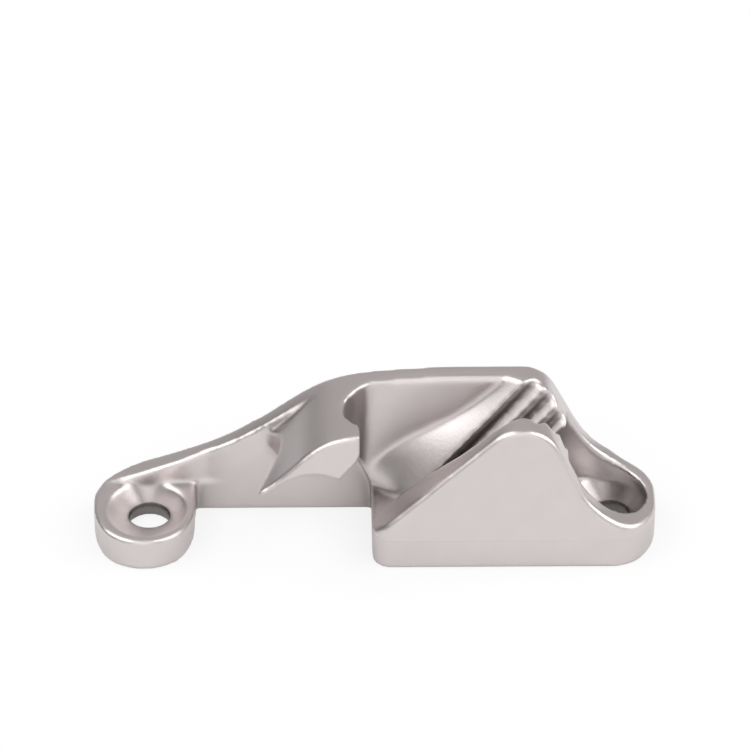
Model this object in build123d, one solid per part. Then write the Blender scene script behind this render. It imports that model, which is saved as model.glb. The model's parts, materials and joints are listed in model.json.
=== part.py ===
from build123d import *
import math
import os

# Jam cleat with a side entry, one aluminium casting.
# X runs along the cleat, Y from the open front to the back wall, Z up from the deck.
# The origin is midway between the two screw holes, on the base.

# Screws
hole_pitch = 67.5
hole_d = 5.7
throat_z = 1.8

# Overall plan
front_y = -11.4
back_y = 7.6
right_end_x = 40.45
parting_z = 5.0
upper_draft = 2.5
lower_draft = 1.5
rim_r = 0.6

# Left lug
left_lug_x = -34.4
left_lug_half = 7.45
lug_tip_r = 6.8
lug_side_y = -1.4
lug_web_r = 2.8

# Right lug
right_tip_r = 5.6
right_side_y = -2.4
right_lug_r = 6.7
corner_turn = 60.0
lug_fall = 0.22

# Back wall: drop below its top along its length, then its inner faces as a point, a lean and a turn
wall_top_z = 23.6
wall_drop = ((-37.4, 17.8), (-32.1, 16.0), (-22.4, 12.1), (-14.5, 6.85), (-8.7, 2.95), (-2.8, 1.05), (6.0, 0.27))
wall_flat_x = 14.0
wall_shoulder_r = 5.2
wall_slope = 1.95
wall_foot = (31.9, 8.3)
pocket_y = 2.8
pocket_edge_r = 0.9
scoop_face = ((-16.0, 3.67, 13.0), 3.4, -7.0)
scoop_end_face = ((-25.4, 4.65, 10.0), 3.4, 7.4)
lug_wall_y = 3.95
lug_wall_end_x = -25.0
under_face_y = 4.0
under_face_lean = -3.4
under_edge = ((-1.2, 5.0), (-1.5, 6.0), (-3.1, 9.8), (-5.5, 16.0), (-9.0, 20.0))

# Jaws
jaw_left_x = -1.2
jaw_corner_r = 3.0
jaw_peak = (22.6, 27.31)
jaw_rise = 42.6
jaw_peak_r = 6.08
jaw_foot = (31.8, 7.65)
jaw_foot_r = 13.0
channel_mid_y = -2.05
channel_half = 4.3
jaw_slope = 11.3

# Lead in ramp: points on its left edge and the crest height each one is joined to
ramp_edge = ((0.6, 4.6), (-1.5, 7.25), (6.2, 14.3), (12.0, 17.5), (18.1, 22.9), (20.4, 25.1))
ramp_crest = (3.6, 6.3, 12.3, 17.2, 23.3, 25.5)

# Teeth
crest_z = 23.3
first_crest_x = 21.0
groove_angle = 47.2
groove_pitch = 4.2
groove_count = 3
groove_depth = 1.3
groove_root_r = 0.35
crest_flat = 0.24

# Keeper arm: side view and plan
arm_root = (1.5, 23.0)
arm_top = ((-17.9, 12.9), (-15.9, 14.2), (-12.2, 17.7), (-8.0, 21.1), (-2.8, 22.6))
arm_right = ((-2.6, 20.2), (-3.3, 18.4), (-4.8, 16.5), (-6.3, 14.0), (-6.9, 9.5), (-7.2, 3.2))
arm_left = ((-12.4, 3.2), (-14.0, 9.5), (-17.9, 12.9))
arm_crest = ((-16.8, 4.2), (-14.5, -1.6), (-15.6, -5.4), (-17.6, -10.2), (-18.0, -12.5))
arm_slot = ((-2.9, -8.4), (-4.4, -5.4), (-5.2, -2.6), (-4.2, 1.0), (-2.2, 3.0), (1.5, 3.6))
arm_web_y = 1.6
arm_web_z = 9.0
arch = ((-20.0, 11.0), (-17.6, 12.0), (-14.1, 14.7), (-9.8, 16.2), (-5.9, 15.2), (-3.5, 13.3))

# Rope tunnel under the keeper arm
tunnel_r = 13.85
tunnel_y = -9.45
tunnel_z = 2.5

# Hollows round the screws
left_dish = (-34.1, -2.9)
left_dish_radii = (6.2, 7.1)
right_dish = (32.9, -1.7)
right_dish_r = 6.1

# Sizes of the cutting blocks, well past the casting
tall = 40.0
long = 120.0
jaw_back = 10.0


def oval_arcs(half, depth, tip_r):
    """Side radius and meeting point of a three arc end, from its half width and depth."""
    drop = depth - tip_r
    side_r = (tip_r ** 2 - half ** 2 - drop ** 2) / (2 * (tip_r - half))
    reach = side_r - tip_r
    meet_x = (side_r - half) - side_r * (side_r - half) / reach
    meet_y = -side_r * drop / reach
    return side_r, meet_x, meet_y


def back_corner():
    """Ends of the slanted corner behind the right lug."""
    turn = math.radians(corner_turn)
    px = hole_pitch / 2 + right_lug_r * math.cos(turn)
    py = right_lug_r * math.sin(turn)
    run = (back_y - py) / math.cos(turn)
    return (px, py), (px - run * math.sin(turn), back_y)


def plan_face():
    """Outline of the casting at its parting line, without the keeper arm."""
    hole_x = hole_pitch / 2
    xl = left_lug_x - left_lug_half
    xr = left_lug_x + left_lug_half
    side_l, mx, my = oval_arcs(left_lug_half, lug_side_y - front_y, lug_tip_r)
    side_r, rx, ry = oval_arcs(right_end_x - hole_x, right_side_y - front_y, right_tip_r)
    low, high = back_corner()
    with BuildSketch(Plane.XY.offset(parting_z)) as sk:
        with BuildLine():
            Line((xl, 0), (xl, lug_side_y))
            RadiusArc((xl, lug_side_y), (left_lug_x + mx, lug_side_y + my), -side_l)
            RadiusArc((left_lug_x + mx, lug_side_y + my), (left_lug_x - mx, lug_side_y + my), -lug_tip_r)
            RadiusArc((left_lug_x - mx, lug_side_y + my), (xr, lug_side_y), -side_l)
            Line((xr, lug_side_y), (xr, under_face_y - lug_web_r))
            RadiusArc((xr, under_face_y - lug_web_r), (xr + lug_web_r, under_face_y), lug_web_r)
            Line((xr + lug_web_r, under_face_y), (jaw_left_x, under_face_y))
            Line((jaw_left_x, under_face_y), (jaw_left_x, front_y + jaw_corner_r))
            RadiusArc((jaw_left_x, front_y + jaw_corner_r), (jaw_left_x + jaw_corner_r, front_y), -jaw_corner_r)
            Line((jaw_left_x + jaw_corner_r, front_y), (hole_x, front_y))
            RadiusArc((hole_x, front_y), (hole_x - rx, right_side_y + ry), -right_tip_r)
            RadiusArc((hole_x - rx, right_side_y + ry), (right_end_x, right_side_y), -side_r)
            Line((right_end_x, right_side_y), (right_end_x, 0))
            RadiusArc((right_end_x, 0), low, -right_lug_r)
            Line(low, high)
            Line(high, (left_lug_x, back_y))
            RadiusArc((left_lug_x, back_y), (xl, back_y - left_lug_half), -left_lug_half)
            Line((xl, back_y - left_lug_half), (xl, 0))
        make_face()
    return sk.sketch.face()


def wall_plan_face():
    """Outline of the back wall above the parting line, open to the front."""
    xl = left_lug_x - left_lug_half
    low, high = back_corner()
    with BuildSketch(Plane.XY.offset(parting_z)) as sk:
        with BuildLine():
            Line((xl, back_y - left_lug_half), (xl, -1))
            Line((xl, -1), (right_end_x, -1))
            Line((right_end_x, -1), (right_end_x, 0))
            RadiusArc((right_end_x, 0), low, -right_lug_r)
            Line(low, high)
            Line(high, (left_lug_x, back_y))
            RadiusArc((left_lug_x, back_y), (xl, back_y - left_lug_half), -left_lug_half)
        make_face()
    return sk.sketch.face()


def behind(point, lean, turn=0.0):
    """Everything behind a wall plane through a point, leaning back and turned in degrees."""
    block = Pos(0, tall / 2, 0) * Box(2 * long, tall, 2 * tall)
    return Pos(*point) * Rot(-lean, 0, turn) * block


def before(point, lean, turn=0.0):
    """Everything in front of the same kind of wall plane."""
    block = Pos(0, -tall / 2, 0) * Box(2 * long, tall, 2 * tall)
    return Pos(*point) * Rot(-lean, 0, turn) * block


def prism(face_xz, y0, y1):
    """A profile drawn in X and Z, carried along Y."""
    face = Pos(0, y1, 0) * face_xz
    return extrude(face, amount=y1 - y0, dir=(0, -1, 0))


def rim_edges(solid):
    """Upper edges on the drafted outside of the casting, round the front jaw and the right lug."""
    outline = plan.outer_wire()
    slope = math.tan(math.radians(upper_draft))
    found = []
    for edge in solid.edges():
        points = [edge @ 0, edge @ 0.5, edge @ 1]
        level = math.hypot(points[2].X - points[0].X, points[2].Y - points[0].Y)
        low = min(p.Z for p in points)
        mid = points[1]
        if level < rim_r or low < parting_z + rim_r / 2 or mid.X < jaw_left_x + rim_r:
            continue
        if mid.Y > channel_mid_y and mid.X < hole_pitch / 2:
            continue
        gaps = [outline.distance_to(Vertex(p.X, p.Y, parting_z)) - (p.Z - parting_z) * slope for p in points]
        if max(abs(g) for g in gaps) < rim_r / 10:
            found.append(edge)
    return found


def rounded(solid, edges, radius):
    """The solid with some of its edges rounded, or as it was where they can't be."""
    solid = solid.solids()[0]
    try:
        eased = solid.fillet(radius, edges)
    except Exception:
        return solid
    return eased if eased.is_valid else solid


def wall_profile():
    """Side view of the back wall, from the left lug over the jaws to the right lug."""
    fx, fz = wall_foot
    shoulder_x = fx - (wall_top_z - fz) / wall_slope
    start = (left_lug_x - left_lug_half - 2, parting_z - 0.3)
    end = (right_end_x + 2, fz - lug_fall * (right_end_x + 2 - fx))
    top_x = wall_flat_x
    rise = [(x, wall_top_z - drop) for x, drop in wall_drop]
    with BuildSketch(Plane.XZ) as sk:
        with BuildLine():
            Spline(start, *rise, (top_x, wall_top_z), tangents=((1, 0.1), (1, 0)))
            FilletPolyline(
                (top_x, wall_top_z),
                (shoulder_x, wall_top_z),
                wall_foot,
                end,
                radius=(wall_shoulder_r, jaw_foot_r),
            )
            Polyline(end, (end[0], -1), (start[0], -1), start)
        make_face()
    return sk.sketch.face()


def jaw_profile():
    """Side view of the front jaw, a straight rise, a round peak and a sweep to the lug."""
    px, pz = jaw_peak
    fx, fz = jaw_foot
    start_x = jaw_left_x - 2
    start_z = pz - (px - start_x) * math.tan(math.radians(jaw_rise))
    end_x = right_end_x + 2
    end_z = fz - lug_fall * (end_x - fx)
    with BuildSketch(Plane.XZ) as sk:
        with BuildLine():
            FilletPolyline(
                (start_x, start_z),
                (px, pz),
                (fx, fz),
                (end_x, end_z),
                radius=(jaw_peak_r, jaw_foot_r),
            )
            Polyline((end_x, end_z), (end_x, -1), (start_x, -1), (start_x, start_z))
        make_face()
    return sk.sketch.face()


def lug_section(y, slope, foot):
    """Side view of the fall from a jaw to the right lug, at one depth."""
    fx, fz = foot
    start = (fx - (wall_top_z - fz) / slope, wall_top_z)
    end = (right_end_x + 2, fz - lug_fall * (right_end_x + 2 - fx))
    with BuildSketch(Plane.XZ) as sk:
        with BuildLine():
            FilletPolyline(start, foot, end, radius=jaw_foot_r)
            Polyline(end, (end[0], -1), (start[0], -1), start)
        make_face()
    return Pos(0, y, 0) * sk.sketch.face()


def lug_top():
    """Block under the top of the right lug, ruled from the front jaw's line to the wall's."""
    jaw_fall = (jaw_peak[1] - jaw_foot[1]) / (jaw_foot[0] - jaw_peak[0])
    cy = right_dish[1]
    sections = [
        lug_section(front_y - 1, jaw_fall, jaw_foot),
        lug_section(cy - right_dish_r, jaw_fall, jaw_foot),
        lug_section(cy + right_dish_r, wall_slope, wall_foot),
        lug_section(back_y + 1, wall_slope, wall_foot),
    ]
    past = Pos(hole_pitch / 2 + tall / 2, 0, 0) * Box(tall, tall, 2 * tall)
    return loft(sections, ruled=True) & past


def pocket_face(z):
    """Depth of the pocket face behind the rope at a height."""
    return pocket_y + (z - parting_z) * math.tan(math.radians(upper_draft))


def pocket_edges(solid):
    """Edges between the pocket face and the top of the wall."""
    found = []
    for edge in solid.edges():
        points = [edge @ 0, edge @ 1]
        level = abs(points[1].X - points[0].X)
        if level > pocket_edge_r and points[0].Z + points[1].Z > 2 * (parting_z + pocket_edge_r):
            if max(abs(p.Y - pocket_face(p.Z)) for p in points) < pocket_edge_r / 50:
                found.append(edge)
    return found


def tooth_face(z):
    """Depth of the rear toothed face at a height."""
    return channel_mid_y + channel_half - (crest_z - z) * math.tan(math.radians(jaw_slope))


def crest_x(number, z):
    """Place along the cleat of a numbered crest at a height."""
    return first_crest_x + number * groove_pitch - (crest_z - z) / math.tan(math.radians(groove_angle))


def ramp_section(left, crest_height):
    """One quad of the lead in ramp, from its left edge to the first crest."""
    x, z = left
    cx = crest_x(0, crest_height)
    points = (
        (x, pocket_face(z), z),
        (cx, tooth_face(crest_height), crest_height),
        (cx, jaw_back, crest_height),
        (x, jaw_back, z),
    )
    return Face(Wire.make_polygon([Vector(*p) for p in points], close=True))


def jaw_core():
    """Solid behind the rear toothed face: the ramp, the crests and the grooves."""
    ramp = loft([ramp_section(p, h) for p, h in zip(ramp_edge, ramp_crest)], ruled=False)
    z0 = ramp_crest[0]
    z1 = wall_top_z + 3
    last = groove_count
    with BuildSketch(Plane.XZ) as sk:
        with BuildLine():
            Polyline(
                (crest_x(0, z0) - 0.05, z0),
                (crest_x(last, z0), z0),
                (crest_x(last, z1), z1),
                (crest_x(0, z1) - 0.05, z1),
                close=True,
            )
        make_face()
    block = prism(sk.sketch.face(), channel_mid_y, jaw_back)
    block = block & behind((0, channel_mid_y + channel_half, crest_z), jaw_slope)
    for k in range(groove_count):
        block = block - groove(k)
    return ramp + block


def groove(number):
    """Cutter for one groove, with a rounded root, along the rear toothed face."""
    start = Vector(crest_x(number, crest_z), tooth_face(crest_z), crest_z)
    foot = Vector(crest_x(number, 0), tooth_face(0), 0)
    along = (foot - start).normalized()
    tilt = math.radians(jaw_slope)
    out = Vector(0, -math.cos(tilt), math.sin(tilt))
    across = along.cross(out).normalized()
    if across.X < 0:
        across = across * -1
    step = groove_pitch * math.sin(math.radians(groove_angle))
    edge = crest_flat / 2
    plane = Plane(origin=start - along * 6, x_dir=across, z_dir=along)
    up = 1 if plane.y_dir.dot(out) > 0 else -1
    with BuildSketch(plane) as sk:
        with BuildLine():
            FilletPolyline(
                (edge, 0),
                (0.5 * step, -up * groove_depth),
                (step - edge, 0),
                radius=groove_root_r,
            )
            Polyline((step - edge, 0), (step + 2 * edge, up * 2), (-2 * edge, up * 2), (edge, 0))
        make_face()
    return extrude(sk.sketch.face(), amount=45, dir=tuple(along))


def arm_solid():
    """Keeper arm that reaches over the rope from the back wall to the front."""
    root_x, root_z = arm_root
    foot_y = arm_crest[-1][1]
    slot_y = arm_slot[-1][1]
    wall_y = slot_y + 2.7
    with BuildSketch(Plane.XZ) as side:
        with BuildLine():
            Spline(*arm_top, arm_root)
            Line(arm_root, (root_x, arm_right[0][1]))
            Line((root_x, arm_right[0][1]), arm_right[0])
            Spline(*arm_right, tangents=((-0.1, -1), (0, -1)))
            Line(arm_right[-1], arm_left[0])
            Spline(*arm_left, tangents=((0, 1), (-1, 0.35)))
        make_face()
    with BuildSketch(Plane.XY) as plan:
        with BuildLine():
            Line((root_x, wall_y), (arm_crest[0][0], wall_y))
            Line((arm_crest[0][0], wall_y), arm_crest[0])
            Spline(*arm_crest)
            Line(arm_crest[-1], (arm_slot[0][0], foot_y))
            Line((arm_slot[0][0], foot_y), arm_slot[0])
            Spline(*arm_slot, tangents=((0, 1), (1, 0)))
            Line(arm_slot[-1], (root_x, wall_y))
        make_face()
    post = extrude(plan.sketch.face(), amount=tall)
    arm = prism(side.sketch.face(), foot_y, wall_y) & post
    web_left = arm_slot[3][0] - 1
    web_size = (root_x - web_left, wall_y - arm_web_y, arm_right[0][1] - arm_web_z)
    web_centre = ((root_x + web_left) / 2, (wall_y + arm_web_y) / 2, (arm_right[0][1] + arm_web_z) / 2)
    web = Pos(*web_centre) * Box(*web_size) & post - under_cut
    arm = arm & behind((0, front_y, parting_z), upper_draft)
    mid_x = arm_crest[0][0] / 2
    wide = 2 * tunnel_r
    tunnel = Pos(mid_x, tunnel_y, tunnel_z) * Rot(0, 90, 0) * Cylinder(tunnel_r, tall)
    under = Pos(mid_x, tunnel_y - tunnel_r, tunnel_z) * Box(tall, wide, wide)
    below = Pos(mid_x, tunnel_y, tunnel_z - tunnel_r) * Box(tall, wide, wide)
    with BuildSketch(Plane.XZ) as mouth:
        with BuildLine():
            Spline(*arch)
            Polyline(arch[-1], (arch[-1][0], -5), (arch[0][0], -5), arch[0])
        make_face()
    cut = (tunnel + under + below) & prism(mouth.sketch.face(), -tall, jaw_back)
    return arm - cut + web


def dish(hole_x, centre, radii):
    """Countersunk hollow round a screw hole, from its throat to an oval rim."""
    throat = Plane.XY.offset(throat_z) * Pos(hole_x, 0) * Circle(hole_d / 2)
    rim = Plane.XY.offset(parting_z) * Pos(*centre) * Ellipse(*radii)
    bowl = loft([throat.face(), rim.face()])
    bore = Pos(hole_x, 0, throat_z / 2) * Cylinder(hole_d / 2, throat_z + 2)
    return bowl + bore


def tail_slot():
    """Hollow above the right screw and behind the last crest, where the rope tail lies."""
    cx, cy = right_dish
    r = right_dish_r
    left_x = crest_x(groove_count, 0)
    with BuildSketch(Plane.XY.offset(parting_z)) as sk:
        with BuildLine():
            Line((cx, cy + r), (left_x, cy + r))
            Line((left_x, cy + r), (left_x, cy - r))
            Line((left_x, cy - r), (cx, cy - r))
            ThreePointArc((cx, cy - r), (cx + r, cy), (cx, cy + r))
        make_face()
    rise = extrude(sk.sketch.face(), amount=tall / 2, taper=-upper_draft, dir=(0, 0, 1))
    with BuildSketch(Plane.XZ) as side:
        with BuildLine():
            Polyline(
                (crest_x(groove_count, 0), 0),
                (crest_x(groove_count, tall), tall),
                (long / 2, tall),
                (long / 2, 0),
                close=True,
            )
        make_face()
    return rise & prism(side.sketch.face(), -tall, tall)


plan = plan_face()
upper = extrude(plan, amount=wall_top_z + 3 - parting_z, taper=upper_draft, dir=(0, 0, 1))
upper_wall = extrude(wall_plan_face(), amount=wall_top_z + 3 - parting_z, taper=upper_draft, dir=(0, 0, 1))
lower = extrude(plan, amount=parting_z, taper=lower_draft, dir=(0, 0, -1))
wall_prism = prism(wall_profile(), front_y - 1, back_y + 1)
jaw_prism = prism(jaw_profile(), front_y - 1, back_y + 1)

# Back wall with its pocket, scoop and lug faces, then the face under the keeper arm
wall = upper_wall & wall_prism & behind((0, pocket_y, parting_z), upper_draft)
wall = rounded(wall, pocket_edges(wall), pocket_edge_r)
wall = wall - (before(*scoop_face) & before(*scoop_end_face))
lug_box = Pos(lug_wall_end_x - long / 2, 0, 0) * Box(long, tall, 2 * tall)
wall = wall - (before((0, lug_wall_y, parting_z), upper_draft) & lug_box)
web_x = left_lug_x + left_lug_half
with BuildSketch(Plane.XZ) as under_sk:
    with BuildLine():
        Polyline((web_x, under_edge[-1][1]), (web_x, -1), (under_edge[0][0], -1), *under_edge, close=True)
    make_face()
under_cut = prism(under_sk.sketch.face(), front_y, jaw_back) & before((0, under_face_y, parting_z), under_face_lean)
wall = wall - under_cut
lower = lower - under_cut

# Right lug and the outer wall of the front jaw
front_wall = upper & jaw_prism - behind((0, 2 * channel_mid_y - pocket_y, parting_z), -upper_draft)
end_block = upper & lug_top()
low_rim = Pos((hole_pitch + tall) / 2, 0, 0) * Box(tall, tall, 2 * tall)
wall = wall - low_rim
front_wall = front_wall - low_rim

# Toothed jaws, the front one a mirror image of the rear one
core = jaw_core()
rear_jaw = core & upper & wall_prism
front_core = mirror(core, about=Plane.XZ.offset(-channel_mid_y))
front_jaw = front_core & upper & jaw_prism

body = lower + wall + front_wall + end_block
body = body - tail_slot() - dish(hole_pitch / 2, right_dish, (right_dish_r, right_dish_r))
body = body + rear_jaw + front_jaw + arm_solid()
body = body - dish(-hole_pitch / 2, left_dish, left_dish_radii)
body = rounded(body, rim_edges(body), rim_r)
os.makedirs("parts", exist_ok=True)
export_step(body, "parts/cleat_body.step")
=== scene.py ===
"""Dress the cast jam cleat for a studio picture.

The casting keeps the shape of the frame's own node. Here it gets the soft edges of a
blasted casting, its satin anodised finish, and the floor, light and camera.
"""

from __future__ import annotations

import json
import logging
import math
from dataclasses import dataclass, field
from enum import Enum

import bpy
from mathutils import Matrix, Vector

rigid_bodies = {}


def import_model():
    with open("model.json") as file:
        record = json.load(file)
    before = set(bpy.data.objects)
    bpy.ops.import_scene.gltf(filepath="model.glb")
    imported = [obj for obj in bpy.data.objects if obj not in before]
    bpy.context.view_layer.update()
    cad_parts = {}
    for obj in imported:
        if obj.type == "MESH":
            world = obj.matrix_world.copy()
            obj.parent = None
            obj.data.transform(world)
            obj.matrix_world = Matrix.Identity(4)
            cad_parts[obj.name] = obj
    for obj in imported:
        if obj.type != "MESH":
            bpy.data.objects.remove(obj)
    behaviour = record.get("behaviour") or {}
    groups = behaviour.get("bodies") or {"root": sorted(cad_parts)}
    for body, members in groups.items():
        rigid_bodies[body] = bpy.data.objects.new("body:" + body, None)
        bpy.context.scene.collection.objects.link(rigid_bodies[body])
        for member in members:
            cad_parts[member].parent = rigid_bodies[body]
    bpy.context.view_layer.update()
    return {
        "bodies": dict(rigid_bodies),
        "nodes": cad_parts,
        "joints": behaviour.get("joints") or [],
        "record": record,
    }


LOG = logging.getLogger("jam_cleat")
MM = 0.001
PICTURE_PX = 750

Socket = bpy.types.NodeSocket
Colour = tuple[float, float, float]
Span = tuple[float, float]
WHITE: Colour = (1.0, 1.0, 1.0)


def towards(bearing_deg: float, height_deg: float) -> Vector:
    """Find a direction round the cleat.

    Args:
        bearing_deg: Angle round from the front, to the right.
        height_deg: Angle above the floor.

    Returns:
        The unit vector that points that way.
    """
    bearing = math.radians(bearing_deg)
    height = math.radians(height_deg)
    flat = math.cos(height)
    return Vector((math.sin(bearing) * flat, -math.cos(bearing) * flat, math.sin(height)))


@dataclass(frozen=True)
class Glow:
    """A round soft light in the surroundings, as the cleat sees it.

    It fades from full strength to nothing over a band round its radius, which reaches
    as far inside the radius as outside it.
    """

    bearing_deg: float
    height_deg: float
    radius_deg: float
    soft_deg: float
    strength: float


class Light(Enum):
    """The soft lights that stand round the cleat."""

    FRONT = Glow(0.0, 2.0, 26.0, 12.0, 1.15)
    LEFT = Glow(-53.0, 43.0, 22.0, 6.0, 1.7)
    LEFT_SIDE = Glow(-100.0, 50.0, 20.0, 12.0, 2.3)
    RIGHT = Glow(76.0, 40.0, 34.0, 8.0, 2.0)
    RIGHT_SIDE = Glow(101.0, 28.0, 16.0, 5.0, 1.1)
    TOP = Glow(-9.0, 50.0, 25.0, 14.0, 0.9)
    OVERHEAD = Glow(180.0, 78.0, 28.0, 18.0, 0.3)
    REAR = Glow(174.0, 18.0, 38.0, 14.0, 0.46)


@dataclass
class Nodes:
    """A node tree with short ways to fill it."""

    tree: bpy.types.NodeTree

    @classmethod
    def emptied(cls, owner: bpy.types.Material | bpy.types.World) -> Nodes:
        """Empty the node tree of a material or a world.

        Args:
            owner: What the tree belongs to.

        Returns:
            The empty tree, ready to be filled.
        """
        owner.use_nodes = True
        owner.node_tree.nodes.clear()
        return cls(owner.node_tree)

    def add(
        self, kind: str, inputs: dict[str | int, object] | None = None, **settings: object
    ) -> bpy.types.Node:
        """Add a node.

        Args:
            kind: The node's type name, without the ShaderNode prefix.
            inputs: A value or another node's socket for each input, by name or place.
            settings: Properties of the node, by name.

        Returns:
            The new node.
        """
        node = self.tree.nodes.new("ShaderNode" + kind)
        for name, value in settings.items():
            setattr(node, name, value)
        for name, value in (inputs or {}).items():
            if isinstance(value, Socket):
                self.tree.links.new(value, node.inputs[name])
            else:
                node.inputs[name].default_value = value
        return node

    def maths(self, operation: str, *values: float | Socket) -> Socket:
        """Add a Math node.

        Args:
            operation: The operation's name.
            values: Its values in order.

        Returns:
            The node's result.
        """
        return self.add("Math", dict(enumerate(values)), operation=operation).outputs[0]

    def ramp(self, value: Socket, span: Span, colours: tuple[Colour, Colour]) -> Socket:
        """Turn a value into a colour between two colours.

        Args:
            value: The value, as a socket.
            span: The values at which the first and the second colour are reached.
            colours: The two colours.

        Returns:
            The colour's socket.
        """
        node = self.add("ValToRGB", {"Fac": value})
        for stop, place, colour in zip(node.color_ramp.elements, span, colours):
            stop.position = place
            stop.color = (*colour, 1.0)
        return node.outputs["Color"]

    def shader(self, kind: str, colour: Colour) -> Socket:
        """Add a plain shader of one colour."""
        return self.add(kind, {"Color": (*colour, 1.0)}).outputs[0]

    def finish(self, kind: str, share: Socket, first: Socket, second: Socket) -> None:
        """Mix two shaders into the tree's output.

        Args:
            kind: The output node's type name, without the ShaderNode prefix.
            share: The share of the second shader, from 0 to 1.
            first: The first shader.
            second: The second shader.
        """
        mix = self.add("MixShader", {0: share, 1: first, 2: second})
        self.add(kind, {"Surface": mix.outputs[0]})


@dataclass(frozen=True)
class PaintedShade:
    """How dark the painted shade makes the metal where the surface round it closes it in.

    The darkest shade is reached where no more than the closed share of the sky within
    reach is free, and there is none where at least the open share is.
    """

    reach_mm: float
    closed: float
    open: float
    darkest: float


@dataclass(frozen=True)
class SatinCasting:
    """Satin anodised aluminium with the fine grain of a blasted casting, and painted shade
    in its bores, hollows and grooves.
    """

    name: str = "satin_casting"
    colour: Colour = (0.65, 0.605, 0.6)
    mottle_mm: float = 3.5
    mottle_detail: float = 2.0
    mottle_span: Span = (0.3, 0.7)
    mottle_shade: float = 0.98
    roughness: float = 0.33
    roughness_spread: float = 0.1
    grain_mm: float = 0.35
    grain_detail: float = 4.0
    grain_depth_mm: float = 0.03
    grain_strength: float = 0.6
    edge_mm: float = 0.5
    edge_samples: int = 6
    # painted shade in the two screw bores: where they stand, how wide and how dark
    bore_x_mm: float = 33.75
    bore_r_mm: float = 3.0
    bore_painted_shade: float = 0.4
    seam_z_mm: float = 5.0
    seam_front_mm: float = -8.0
    seam_width_mm: float = 0.15
    seam_depth_mm: float = 0.03
    # painted shade in the deep hollows and in the grooves between the teeth
    painted_hollow_shade: PaintedShade = PaintedShade(12.0, 0.25, 0.62, 0.45)
    painted_groove_shade: PaintedShade = PaintedShade(2.0, 0.55, 0.92, 0.3)
    painted_shade_samples: int = 8

    def build(self) -> bpy.types.Material:
        """Make the material.

        Returns:
            A metal whose colour, gloss and bump vary with its grain.
        """
        material = bpy.data.materials.new(self.name)
        kit = Nodes.emptied(material)
        place = kit.add("TexCoord").outputs["Object"]
        grain = self._noise(kit, place, self.grain_mm, self.grain_detail)
        smoothest = self.roughness - self.roughness_spread / 2
        metal = {
            "Metallic": 1.0,
            "Base Color": self._colour(kit, place),
            "Roughness": kit.maths("MULTIPLY_ADD", grain, self.roughness_spread, smoothest),
            "Normal": self._relief(kit, place, grain),
        }
        shader = kit.add("BsdfPrincipled", metal)
        kit.add("OutputMaterial", {"Surface": shader.outputs["BSDF"]})
        return material

    def _colour(self, kit: Nodes, place: Socket) -> Socket:
        """Mottle the metal faintly, and paint shade into its bores, deep hollows and
        grooves.

        Args:
            kit: The material's nodes.
            place: The place on the casting.

        Returns:
            The colour's socket.
        """
        mottle = self._noise(kit, place, self.mottle_mm, self.mottle_detail)
        dull = tuple(self.mottle_shade * part for part in self.colour)
        tint = kit.ramp(mottle, self.mottle_span, (dull, self.colour))
        shade = self._painted_bore_shade(kit, place)
        # paint shade into the colour wherever the casting closes round a place
        for painted_closed_in in (self.painted_hollow_shade, self.painted_groove_shade):
            shade = kit.maths("MULTIPLY", shade, self._painted_closed_in_shade(kit, painted_closed_in))
        shaded = kit.add("VectorMath", {0: tint, "Scale": shade}, operation="SCALE")
        return shaded.outputs[0]

    def _painted_bore_shade(self, kit: Nodes, place: Socket) -> Socket:
        """Paint shade into the colour of the two screw bores.

        Args:
            kit: The material's nodes.
            place: The place on the casting.

        Returns:
            The painted shade inside the bores, and 1 elsewhere.
        """
        split = kit.add("SeparateXYZ", {0: place})
        from_middle = kit.maths("ABSOLUTE", split.outputs["X"])
        along = kit.maths("SUBTRACT", from_middle, self.bore_x_mm * MM)
        across = split.outputs["Y"]
        across_square = kit.maths("MULTIPLY", across, across)
        off_axis_square = kit.maths("MULTIPLY_ADD", along, along, across_square)
        inside = kit.maths("LESS_THAN", off_axis_square, (self.bore_r_mm * MM) ** 2)
        return kit.maths("MULTIPLY_ADD", inside, self.bore_painted_shade - 1.0, 1.0)

    def _painted_closed_in_shade(self, kit: Nodes, shade: PaintedShade) -> Socket:
        """Paint shade into the places that the surface round them closes in.

        Args:
            kit: The material's nodes.
            shade: How far to look and how dark to get.

        Returns:
            The darkest painted shade deep inside, up to 1 in the open.
        """
        reach = {"Distance": shade.reach_mm * MM}
        sky = kit.add("AmbientOcclusion", reach, samples=self.painted_shade_samples, only_local=True)
        depth = {
            "Value": sky.outputs["AO"],
            "From Min": shade.closed,
            "From Max": shade.open,
            "To Min": shade.darkest,
        }
        return kit.add("MapRange", depth).outputs["Result"]

    def _relief(self, kit: Nodes, place: Socket, grain: Socket) -> Socket:
        """Round the edges, and raise the mould line and the grain on them.

        Args:
            kit: The material's nodes.
            place: The place on the casting.
            grain: The grain's height.

        Returns:
            The normal's socket.
        """
        edge = {"Radius": self.edge_mm * MM}
        edges = kit.add("Bevel", edge, samples=self.edge_samples)
        seam = {
            "Distance": self.seam_depth_mm * MM,
            "Height": self._seam(kit, place),
            "Normal": edges.outputs["Normal"],
        }
        bump = {
            "Distance": self.grain_depth_mm * MM,
            "Strength": self.grain_strength,
            "Height": grain,
            "Normal": kit.add("Bump", seam).outputs["Normal"],
        }
        return kit.add("Bump", bump).outputs["Normal"]

    def _seam(self, kit: Nodes, place: Socket) -> Socket:
        """Make the faint mould line that crosses the front face.

        Args:
            kit: The material's nodes.
            place: The place on the casting.

        Returns:
            The line's height, from 0 to 1.
        """
        split = kit.add("SeparateXYZ", {0: place})
        off = kit.maths("SUBTRACT", split.outputs["Z"], self.seam_z_mm * MM)
        steps = kit.maths("DIVIDE", off, self.seam_width_mm * MM)
        fade = kit.maths("MULTIPLY", kit.maths("POWER", steps, 2.0), -1.0)
        front = kit.maths("LESS_THAN", split.outputs["Y"], self.seam_front_mm * MM)
        return kit.maths("MULTIPLY", kit.maths("EXPONENT", fade), front)

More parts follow.
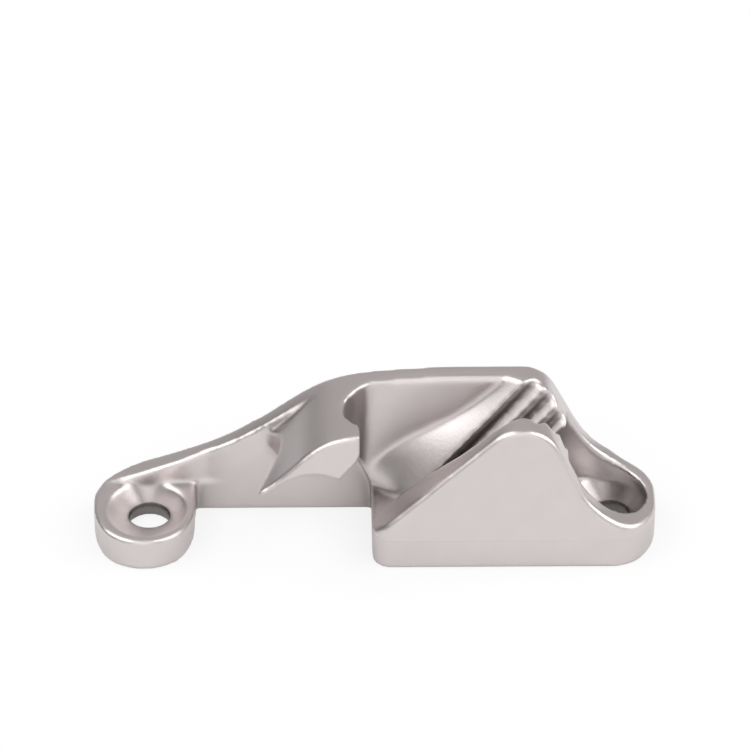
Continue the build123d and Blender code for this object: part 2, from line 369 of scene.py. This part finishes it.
    def _noise(self, kit: Nodes, place: Socket, size_mm: float, detail: float) -> Socket:
        """Add noise.

        Args:
            kit: The material's nodes.
            place: The place on the casting.
            size_mm: About how wide its spots are.
            detail: How much finer noise lies over them.

        Returns:
            The noise, from 0 to 1.
        """
        spots = {"Scale": 1.0 / (size_mm * MM), "Detail": detail, "Vector": place}
        return kit.add("TexNoise", spots).outputs["Fac"]


@dataclass
class Casting:
    """The one cast piece: its soft edges and its finish."""

    node: str = "cleat_body"
    weld_mm: float = 0.001
    grid_mm: float = 0.3
    soften_steps: int = 14
    soften_share: float = 0.5
    finish: SatinCasting = field(default_factory=SatinCasting)

    def soften(self, piece: bpy.types.Object) -> None:
        """Round every edge as casting and blasting do.

        Args:
            piece: The casting, whose own mesh stays as it is under the modifiers.
        """
        weld = piece.modifiers.new("joined_facets", "WELD")
        weld.merge_threshold = self.weld_mm * MM
        skin = piece.modifiers.new("even_skin", "REMESH")
        skin.mode = "VOXEL"
        skin.voxel_size = self.grid_mm * MM
        skin.use_smooth_shade = True
        smooth = piece.modifiers.new("soft_edges", "SMOOTH")
        smooth.factor = self.soften_share
        smooth.iterations = self.soften_steps

    def build(self, frame: dict) -> bpy.types.Object:
        """Dress the casting.


        Returns:
            The dressed object.
        """
        piece = frame["nodes"][self.node]
        self.soften(piece)
        material = self.finish.build()
        piece.data.materials.clear()
        piece.data.materials.append(material)
        LOG.info("%s dressed in %s", piece.name, material.name)
        return piece


@dataclass
class Studio:
    """The floor, the soft light all round and the camera."""

    floor_size: float = 6.0
    floor_below_mm: float = 0.02
    floor_colour: Colour = (0.77, 0.77, 0.77)
    floor_seen_white: float = 0.8
    floor_mirrored_white: float = 0.1
    dim: float = 0.08
    dim_colour: Colour = (1.0, 0.95, 0.95)
    dim_span: Span = (0.3, 1.0)
    elevation_deg: float = 33.3
    azimuth_deg: float = -0.57
    distance: float = 1.1
    view_width_mm: float = 109.6
    centre_mm: tuple[float, float, float] = (-0.63, -1.9, 9.4)
    centre_px: tuple[float, float] = (375.0, 479.2)
    film_mm: float = 36.0
    nearest: float = 0.05
    farthest: float = 20.0

    def floor(self) -> bpy.types.Object:
        """Make the plain white floor, which keeps a faint shadow.

        Returns:
            The floor, just under the base of the cleat.
        """
        bpy.ops.mesh.primitive_plane_add(size=self.floor_size)
        floor = bpy.context.active_object
        floor.name = "floor"
        floor.location.z = -self.floor_below_mm * MM
        material = bpy.data.materials.new("white_floor")
        kit = Nodes.emptied(material)
        rays = kit.add("LightPath").outputs
        seen = kit.maths("MULTIPLY", rays["Is Camera Ray"], self.floor_seen_white)
        mirrored = kit.maths("MULTIPLY", rays["Is Glossy Ray"], self.floor_mirrored_white)
        share = kit.maths("MAXIMUM", seen, mirrored)
        pale = kit.shader("BsdfDiffuse", self.floor_colour)
        kit.finish("OutputMaterial", share, pale, kit.shader("Emission", WHITE))
        floor.data.materials.append(material)
        return floor

    def surroundings(self) -> bpy.types.World:
        """Light the world: dim all round, with the soft lights in it.

        Returns:
            The world, which the camera sees as plain white.
        """
        world = bpy.data.worlds.new("studio_light")
        bpy.context.scene.world = world
        kit = Nodes.emptied(world)
        direction = kit.add("TexCoord").outputs["Generated"]
        total: float | Socket = self.dim
        for light in Light:
            total = self._glow(kit, direction, light.value, total)
        tint = kit.ramp(total, self.dim_span, (self.dim_colour, WHITE))
        lit = kit.add("Background", {"Strength": total, "Color": tint}).outputs[0]
        seen = kit.add("LightPath").outputs["Is Camera Ray"]
        kit.finish("OutputWorld", seen, lit, kit.shader("Background", WHITE))
        return world

    def _glow(
        self, kit: Nodes, direction: Socket, glow: Glow, below: float | Socket
    ) -> Socket:
        """Add one soft light to the brightness so far.

        Args:
            kit: The world's nodes.
            direction: The direction that is looked in.
            glow: The light.
            below: The brightness so far.

        Returns:
            The new brightness.
        """
        centre = towards(glow.bearing_deg, glow.height_deg)
        facing = kit.add("VectorMath", {0: direction, 1: centre}, operation="DOT_PRODUCT")
        edge = {
            "Value": facing.outputs["Value"],
            "From Min": math.cos(math.radians(glow.radius_deg + glow.soft_deg)),
            "From Max": math.cos(math.radians(glow.radius_deg - glow.soft_deg)),
        }
        share = kit.add("MapRange", edge, interpolation_type="SMOOTHSTEP").outputs["Result"]
        return kit.maths("MULTIPLY_ADD", share, glow.strength, below)

    def camera(self) -> bpy.types.Object:
        """Set the camera at the photograph's height and distance.

        Returns:
            The scene's camera.
        """
        data = bpy.data.cameras.new("camera")
        data.sensor_width = self.film_mm
        data.lens = data.sensor_width * self.distance / (self.view_width_mm * MM)
        data.clip_start = self.nearest
        data.clip_end = self.farthest
        camera = bpy.data.objects.new("camera", data)
        bpy.context.scene.collection.objects.link(camera)
        away = towards(self.azimuth_deg, self.elevation_deg)
        camera.rotation_mode = "QUATERNION"
        camera.rotation_quaternion = away.to_track_quat("Z", "Y")
        right = camera.rotation_quaternion @ Vector((1, 0, 0))
        up = camera.rotation_quaternion @ Vector((0, 1, 0))
        px_mm = self.view_width_mm / PICTURE_PX
        aside = (self.centre_px[0] - PICTURE_PX / 2) * px_mm
        below = (self.centre_px[1] - PICTURE_PX / 2) * px_mm
        aim = (Vector(self.centre_mm) - right * aside + up * below) * MM
        camera.location = aim + away * self.distance
        bpy.context.scene.camera = camera
        return camera

    def build(self) -> None:
        """Set up the floor, the light and the camera."""
        bpy.context.scene.view_settings.view_transform = "Standard"
        for item in (self.floor(), self.surroundings(), self.camera()):
            LOG.info("%s ready", item.name)


def main() -> None:
    """Build the dressed casting and its studio."""
    logging.basicConfig(level=logging.INFO)
    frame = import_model()
    Casting().build(frame)
    Studio().build()


if __name__ == "__main__":
    main()
